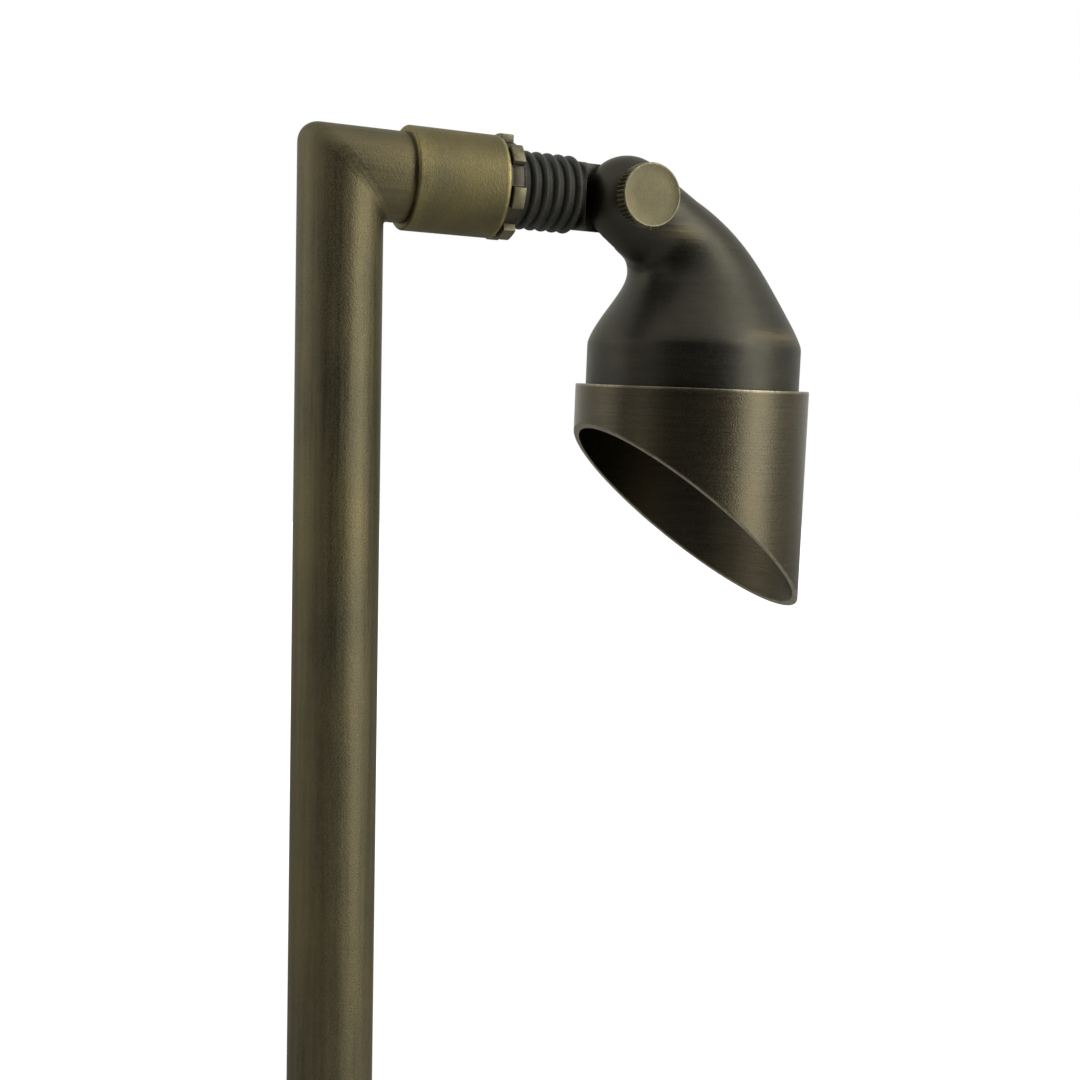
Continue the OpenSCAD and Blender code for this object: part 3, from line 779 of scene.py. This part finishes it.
def makeShroud(setup):
    outer = setup["radius"]
    inner = outer - setup["wall"]
    slope = (setup["long"] - setup["short"]) / (2 * outer)
    count = setup["sides"]
    bevel = setup["bevel"]
    nick = setup["rimBevel"]
    top = setup["top"]
    under = setup["ledgeUnder"]

    # kind, radius, drop or share or lift from the mouth, wear
    profile = [("fixed", outer - bevel, top, 0.8),
               ("fixed", outer - bevel * 0.3, top + bevel * 0.3, 1.0),
               ("fixed", outer, top + bevel, 0.5), ("fixed", outer, top + bevel * 3, 0.0)]
    profile += [("blend", outer, share, 0.0) for share in (0.25, 0.5, 0.75)]
    profile += [("rim", outer, -nick * 3, 0.0), ("rim", outer, -nick, 0.5),
                ("rim", outer - nick * 0.35, -nick * 0.35, 1.0), ("rim", outer - nick, 0.0, 0.8),
                ("rim", inner + nick, 0.0, 0.5), ("rim", inner + nick * 0.35, -nick * 0.35, 1.0),
                ("rim", inner, -nick, 0.4), ("rim", inner, -nick * 3, 0.0)]
    profile += [("blend", inner, share, 0.0) for share in (0.75, 0.5, 0.25)]
    profile += [("fixed", inner, under, 0.0), ("fixed", setup["ledgeRadius"], under, 0.0),
                ("fixed", setup["ledgeRadius"], setup["ledgeTop"], 0.0),
                ("fixed", setup["bore"], setup["ledgeTop"], 0.0),
                ("fixed", setup["bore"], top + bevel, 0.0),
                ("fixed", setup["bore"] + bevel, top, 0.3)]
    points = []
    flows = []
    wear = []
    for kind, radius, value, worn in profile:
        for a, b in circle(radius, count):
            mouth = top + setup["short"] + slope * (a + outer)
            if kind == "fixed":
                drop = value
            elif kind == "blend":
                drop = under + value * (mouth - setup["rimGap"] - under)
            else:
                drop = mouth + value
            local = Vector((a, b, -drop)) * mm
            flows.append(tuple(local))
            wear.append(worn)
            points.append(tuple(headFrame @ (local + Vector((setup["axis"] * mm, 0, 0)))))
    faces = ringFaces(len(profile), count, True)
    return addPiece("shroudShell", points, faces, "shroudBrass", "hood",
                    ("shroud",), setup["sharp"], flow=flows, wear=wear)


makeShroud(shroudSetup)
print("shroud made")


# Ribbed rubber sleeve: six soft ribs on a thin wall, the last over the neck; lengths in mm

sleeveSetup = {
    "inner": 8.04,
    "root": 9.2,
    "crest": 10.45,
    "firstRib": 0.75,  # from the end at the nut to the middle of the first rib
    "pitch": 3.24,
    "ribs": 6,
    "ribWidth": 2.15,
    "overNeck": 1.7,  # how far the end rib is stretched over the neck
    "neckRadius": 9.29,
    "lipWall": 0.1,
    "neckEase": 0.03,  # gap to the neck's face
    "sides": 128,
    "steps": 120,
    "sharp": 50,
}


def makeSleeve(setup):
    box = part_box("ribbed_sleeve")
    start = box[0][0]
    seated = box[1][0] - box[0][0]
    length = seated + setup["overNeck"] * mm
    count = setup["sides"]
    profile = []
    for i in range(setup["steps"] + 1):
        share = i / setup["steps"]
        x = share * length / mm
        rise = 0.0
        for k in range(setup["ribs"]):
            across = (x - setup["firstRib"] - k * setup["pitch"]) / (setup["ribWidth"] / 2)
            if abs(across) < 1:
                rise = max(rise, (1 - across * across) ** 0.5)
        radius = setup["root"] + (setup["crest"] - setup["root"]) * rise
        if x > seated / mm:
            radius = max(radius, setup["neckRadius"] + setup["lipWall"])
        profile.append((start + share * length, radius * mm))
    face = start + seated - setup["neckEase"] * mm
    profile += [(start + length, setup["neckRadius"] * mm), (face, setup["neckRadius"] * mm),
                (face, setup["inner"] * mm), (start, setup["inner"] * mm)]
    return addPiece("sleeve", aroundArm(profile, count), ringFaces(len(profile), count, True),
                    "rubber", "swivel", ("ribbed_sleeve",), setup["sharp"])


makeSleeve(sleeveSetup)
print("sleeve made")


# Coupling with rolled edges; the end at the nut is rubbed bright; lengths in mm

couplingSetup = {
    "leftRound": 0.8,
    "rightRound": 1.1,
    "socket": 12.0,
    "socketRadius": 11.74,
    "boreRadius": 8.05,
    "roundSteps": 6,
    "bodySteps": 9,
    "bodyGap": 0.5,  # from the last row of the body to the right edge's roll
    "sides": 160,
    "sharp": 40,
    "leftWear": 0.25,
    "rightWear": (0.5, 0.9, 0.8, 0.5, 0.3, 0.2, 0.1),
    "goldWear": 0.22,
    "goldLength": 5.0,  # how far the yellow tone runs in from the left end
}


def rolledEdge(end, way, radius, roll, wears):
    steps = len(wears) - 1
    rows = []
    for i, worn in enumerate(wears):
        turn = math.pi / 2 * i / steps
        rows.append((end - way * roll * (1 - math.sin(turn)), radius - roll * (1 - math.cos(turn)),
                     worn))
    return rows


def makeCoupling(setup):
    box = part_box("coupling")
    left = box[0][0] / mm
    right = box[1][0] / mm
    radius = (box[1][1] - box[0][1]) / 2 / mm
    leftWears = [setup["leftWear"]] * (setup["roundSteps"] + 1)
    # x, radius, wear
    profile = rolledEdge(left, -1, radius, setup["leftRound"], leftWears)[::-1]
    first = left + setup["leftRound"]
    middle = right - setup["rightRound"] - setup["bodyGap"]
    for i in range(1, setup["bodySteps"] + 1):
        x = first + (middle - left - setup["leftRound"]) * i / setup["bodySteps"]
        gold = max(0.0, 1 - (x - left) / setup["goldLength"])
        profile.append((x, radius, setup["goldWear"] * gold))
    profile += rolledEdge(right, 1, radius, setup["rightRound"], setup["rightWear"])
    profile += [(right, setup["boreRadius"], 0.0),
                (left + setup["socket"], setup["boreRadius"], 0.0),
                (left + setup["socket"], setup["socketRadius"], 0.0),
                (left, setup["socketRadius"], 0.0)]
    points = aroundArm([(x * mm, r * mm) for x, r, worn in profile], setup["sides"])
    wear = [worn for x, r, worn in profile for j in range(setup["sides"])]
    return addPiece("couplingShell", points, ringFaces(len(profile), setup["sides"], True),
                    "couplingBrass", "post_body", ("coupling",), setup["sharp"],
                    wear=wear)


makeCoupling(couplingSetup)
print("coupling made")


# Lock nut with seven lugs, rubbed bright on top and dark between; lengths in mm

nutSetup = {
    "left": 42.72,
    "right": 46.1,
    "root": 12.3,
    "crest": 14.15,
    "bore": 8.05,
    "lugs": 7,
    "lugWidth": 5.6,
    "angle": 8.0,
    "crestSteps": 6,
    "rootSteps": 8,
    "bevel": 0.18,
    "bevelOver": 40,  # degrees
    "sharp": 30,
    "wornFrom": 13.3,
    "wornOver": 0.5,
}


def makeNut(setup):
    outline = []
    for k in range(setup["lugs"]):
        middle = math.radians(90 + setup["angle"] + 360 * k / setup["lugs"])
        nextMiddle = middle + 2 * math.pi / setup["lugs"]
        atRoot = math.asin(setup["lugWidth"] / 2 / setup["root"])
        atCrest = math.asin(setup["lugWidth"] / 2 / setup["crest"])
        start, stop = middle + atRoot, nextMiddle - atRoot
        for i in range(setup["crestSteps"] + 1):
            outline.append((setup["crest"], middle - atCrest + 2 * atCrest * i / setup["crestSteps"]))
        for i in range(setup["rootSteps"] + 1):
            outline.append((setup["root"], start + (stop - start) * i / setup["rootSteps"]))
    count = len(outline)
    points = []
    for x, bore in ((setup["left"], False), (setup["right"], False), (setup["right"], True),
                    (setup["left"], True)):
        for radius, angle in outline:
            r = setup["bore"] if bore else radius
            points.append((x * mm, r * mm * math.cos(angle),
                           armHeight + r * mm * math.sin(angle)))
    piece = addPiece("castleNut", points, ringFaces(4, count, True), "nutBronze", "nut",
                     ("lock_nut",), setup["sharp"])
    bevel = piece.modifiers.new("bevel", "BEVEL")
    bevel.width = setup["bevel"] * mm
    bevel.segments = 2
    bevel.limit_method = "ANGLE"
    bevel.angle_limit = math.radians(setup["bevelOver"])
    bake(piece)
    wear = []
    for vertex in piece.data.vertices:
        reach = math.hypot(vertex.co.y, vertex.co.z - armHeight) / mm
        wear.append(max(0.0, min(1.0, (reach - setup["wornFrom"]) / setup["wornOver"])))
    setShares(piece.data, "wear", wear)
    shadeSmooth(piece.data, setup["sharp"])


makeNut(nutSetup)
print("nut made")


# Knurled knob with its screw, turned about the hinge; lengths in mm

knobSetup = {
    "screwRadius": 2.5,
    "screwEnd": 7.0,
    "back": 13.15,
    "face": 17.95,
    "crest": 8.7,
    "rim": 8.5,
    "rimWidth": 0.75,
    "toothDepth": 0.6,
    "teeth": 46,
    "stepsPerTooth": 8,
    "toothPower": 1.4,
    "dish": 0.08,
    "sharp": 35,
}


def makeKnob(setup):
    back, face = setup["back"], setup["face"]
    crest, rim = setup["crest"], setup["rim"]
    edge = face - setup["rimWidth"]
    screw = setup["screwRadius"]
    # y, radius, share of the tooth, wear
    profile = [(setup["screwEnd"], screw - 0.3, 0, 0), (setup["screwEnd"] - 0.3, screw, 0, 0),
               (-back, screw, 0, 0), (-back, rim - 0.35, 0, 0), (-back - 0.3, crest, 1, 0.3),
               (-back - 1.4, crest, 1, 0.5), (-edge + 0.9, crest, 1, 0.5),
               (-edge, crest, 1, 0.5), (-edge - 0.12, rim - 0.1, 0, 0.2),
               (-edge - 0.25, rim, 0, 0.4), (-face + 0.2, rim, 0, 0.5),
               (-face + 0.06, rim - 0.08, 0, 1), (-face, rim - 0.2, 0, 1),
               (-face, rim - 0.35, 0, 0.6), (-face + setup["dish"], rim - 0.6, 0, 0.0),
               (-face + setup["dish"], rim * 0.6, 0, 0.0), (-face + setup["dish"], 0.8, 0, 0.0)]
    count = setup["teeth"] * setup["stepsPerTooth"]
    points = []
    wear = []
    for y, radius, tooth, worn in profile:
        for j in range(count):
            angle = 2 * math.pi * j / count
            phase = j % setup["stepsPerTooth"] / setup["stepsPerTooth"]
            depth = abs(2 * phase - 1) ** setup["toothPower"] * setup["toothDepth"] * tooth
            r = radius - depth
            local = Vector((r * math.cos(angle), y, r * math.sin(angle))) * mm
            points.append(tuple(headFrame @ local))
            wear.append(worn * (1 - depth / setup["toothDepth"]))
    return addPiece("knobAndScrew", points, cappedFaces(len(profile), count), "knobBrass", "screw",
                    ("thumbscrew",), setup["sharp"], wear=wear)


makeKnob(knobSetup)
print("knob made")


# Head housing: a ball, a swan neck and a barrel; lengths in mm in the head's frame

housingSetup = {
    "axis": 24.9,
    "ball": 12.0,
    "ballOffset": 2.5,
    "ballFlat": 12.5,
    "lap": 0.4,
    "swing": 13.0,
    "knobWell": 9.0,
    "screw": 2.8,
    "screwTop": 5.0,
    "neck": 13.0,
    "nose": 1.5,
    "noseShare": 0.16,
    "bend": 3.9,
    "flare": 1.8,
    "round": 1.35,
    "leanShare": 0.46,
    "drop": 38.8,
    "shoulder": 38.5,
    "barrel": 30.6,
    "barrelEase": 0.15,  # by how much the loft ends inside the barrel
    "barrelRows": (4.0, 8.0, 12.0),  # under the loft's end
    "barrelEnd": 56.1,
    "barrelWall": 3.0,
    "groove": (52.25, 54.75, 28.55),  # upper and lower drop, radius
    "webShare": 0.26,  # the loft's ring that the web under the ball runs into
    "webSides": 60,
    "webKnob": (3.5, -4.0, -14.0, 3.6),  # place and radius of the web's lower end
    "webBlend": (7.0, -12.0, -15.0, 7.0, 10.0, 260),  # middle, full and fading reach, smoothing
    "crown": 14.8,
    "crownRadius": 8.9,
    "bellDrop": 24.1,
    "bellRadius": 13.9,
    "strapBosses": (26.1, 2.5, 9.0, 41.5, 3.5),  # place, half depth, width, drop, thickness
    "voxel": 0.5,
    "smoothing": 10,
    "edgeVoxel": 0.45,
    "edgeSmoothing": 5,
    "cutReach": 40.0,  # how far the cutters run out past the ball
    "cutOver": 1.0,
    "cutSides": 96,
    "ballRows": 48,
    "sides": 120,
    "steps": 56,
    "sharp": 32,
}


def cowlRing(setup, t, count):
    bend = setup["bend"]
    x = setup["axis"] * (1 - (1 - t) ** bend)
    slope = setup["axis"] * bend * (1 - t) ** (bend - 1) / setup["shoulder"]
    lean = setup["leanShare"] * math.atan(slope)
    swell = 1 - (1 - t ** setup["flare"]) ** setup["round"]
    narrow = setup["nose"] * max(0.0, 1 - t / setup["noseShare"]) ** 2
    wide = setup["barrel"] - setup["barrelEase"] - setup["neck"]
    radius = setup["neck"] - narrow + wide * swell
    return [(x + a * math.cos(lean), b, -setup["drop"] * t + a * math.sin(lean))
            for a, b in circle(radius, count)]


def lathe(profile, count, centre):
    points = [(centre + a, b, z) for radius, z in profile for a, b in circle(radius, count)]
    return points, cappedFaces(len(profile), count)


def rod(radius, low, high, count):
    points = [(a, y, b) for y in (low, high) for a, b in circle(radius, count)]
    return points, cappedFaces(2, count)


def ballShell(setup):
    profile = []
    for i in range(1, setup["ballRows"]):
        angle = math.pi * i / setup["ballRows"]
        profile.append((setup["ball"] * math.sin(angle), setup["ball"] * math.cos(angle)))
    points, faces = lathe(profile, setup["cutSides"], 0.0)
    return [(x, y - setup["ballOffset"], z) for x, y, z in points], faces


def scratch(name, points, faces):
    obj = meshObject(name, [Vector(point) * mm for point in points], faces)
    bpy.context.view_layer.objects.active = obj
    for other in bpy.context.selected_objects:
        other.select_set(False)
    obj.select_set(True)
    bpy.ops.object.mode_set(mode="EDIT")
    bpy.ops.mesh.select_all(action="SELECT")
    bpy.ops.mesh.normals_make_consistent(inside=False)
    bpy.ops.object.mode_set(mode="OBJECT")
    return obj


def combine(obj, other, operation):
    modifier = obj.modifiers.new(operation, "BOOLEAN")
    modifier.operation = operation
    modifier.solver = "EXACT"
    modifier.object = other
    bake(obj)
    bpy.data.objects.remove(other)


def hullOf(points):
    shell = bmesh.new()
    for point in points:
        shell.verts.new(point)
    made = bmesh.ops.convex_hull(shell, input=shell.verts)
    bmesh.ops.delete(shell, geom=made["geom_interior"], context="VERTS")
    shell.verts.ensure_lookup_table()
    shell.verts.index_update()
    corners = [tuple(vert.co) for vert in shell.verts]
    faces = [tuple(vert.index for vert in face.verts) for face in shell.faces]
    shell.free()
    return corners, faces


def remeshed(obj, voxel, smoothing):
    remesh = obj.modifiers.new("remesh", "REMESH")
    remesh.mode = "VOXEL"
    remesh.voxel_size = voxel * mm
    smooth = obj.modifiers.new("smooth", "SMOOTH")
    smooth.factor = 0.5
    smooth.iterations = smoothing
    bake(obj)


def soften(obj, blend):
    middle = Vector(blend[:3]) * mm
    full, fade, rounds = blend[3] * mm, blend[4] * mm, blend[5]
    group = obj.vertex_groups.new(name="blend")
    for vertex in obj.data.vertices:
        away = (vertex.co - middle).length
        weight = max(0.0, min(1.0, 1 - (away - full) / fade))
        if weight > 0:
            group.add([vertex.index], weight, "REPLACE")
    smooth = obj.modifiers.new("blend", "SMOOTH")
    smooth.factor = 0.5
    smooth.iterations = rounds
    smooth.vertex_group = "blend"
    bake(obj)
    obj.vertex_groups.clear()


def makeHousing(setup):
    count = setup["sides"]
    end = setup["barrelEnd"]
    rings = [cowlRing(setup, i / setup["steps"], count) for i in range(setup["steps"])]
    for drop in (0.0, *setup["barrelRows"], end - setup["drop"]):
        rings.append([(setup["axis"] + a, b, -setup["drop"] - drop)
                      for a, b in circle(setup["barrel"], count)])
    points = [point for ring in rings for point in ring]
    faces = ringFaces(len(rings), count, False)
    faces.append(tuple(range(count)))
    faces.append(tuple(range(len(points) - count, len(points))))
    body = scratch("cowl", points, faces)

    # The web is the hull of a small ball, some of the knuckle's points and a ring of the loft
    ballPoints, ballFaces = ballShell(setup)
    x, y, z, radius = setup["webKnob"]
    scale = setup["ball"]
    web = [(px / scale * radius + x, (py + setup["ballOffset"]) / scale * radius + y,
            pz / scale * radius + z) for px, py, pz in ballPoints[::5]]
    web += ballPoints[::3] + cowlRing(setup, setup["webShare"], setup["webSides"])
    combine(body, scratch("ball", ballPoints, ballFaces), "UNION")
    combine(body, scratch("web", *hullOf(web)), "UNION")
    remeshed(body, setup["voxel"], setup["smoothing"])
    soften(body, setup["webBlend"])

    # Room for the other half of the knuckle, then the hollow, the groove and the screw's holes
    reach = setup["cutReach"]
    over = setup["cutOver"]
    sides = setup["cutSides"]
    swing = scratch("swing", *rod(setup["swing"], -setup["lap"], reach, sides))
    combine(body, swing, "DIFFERENCE")
    remeshed(body, setup["edgeVoxel"], setup["edgeSmoothing"])
    outer, wall = setup["barrel"], setup["barrel"] - setup["barrelWall"]
    lampSpace = scratch("lampSpace", *lathe([
        (setup["crownRadius"], -setup["crown"]), (setup["bellRadius"], -setup["bellDrop"]),
        (wall, -setup["shoulder"]), (wall, -end - over)], sides, setup["axis"]))
    combine(body, lampSpace, "DIFFERENCE")
    grooveTop, grooveEnd, grooveRadius = setup["groove"]
    profile = [(outer + over, -grooveTop), (grooveRadius, -grooveTop),
               (grooveRadius, -grooveEnd), (outer + over, -grooveEnd)]
    points = lathe(profile, sides, setup["axis"])[0]
    groove = scratch("groove", points, ringFaces(len(profile), sides, True))
    combine(body, groove, "DIFFERENCE")
    for radius, high in ((setup["screw"], setup["screwTop"]),
                         (setup["knobWell"], -setup["ballFlat"])):
        combine(body, scratch("cutter", *rod(radius, -reach, high, sides)), "DIFFERENCE")
    place, half, width, drop, thick = setup["strapBosses"]
    for side in (-1, 1):
        middle = setup["axis"] + side * place
        corners = [(middle + dx * half, dy * width / 2, dz) for dx in (-1, 1) for dy in (-1, 1)
                   for dz in (-drop, -drop + thick)]
        combine(body, scratch("boss", *hullOf(corners)), "UNION")

    body.data.transform(headFrame)
    body.name = "housingShell"
    body.data.materials.clear()
    body.data.materials.append(finishes["darkBronze"])
    shadeSmooth(body.data, setup["sharp"])
    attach(body, "head")
    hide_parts("housing")
    print("housing made:", len(body.data.polygons), "faces")


makeHousing(housingSetup)
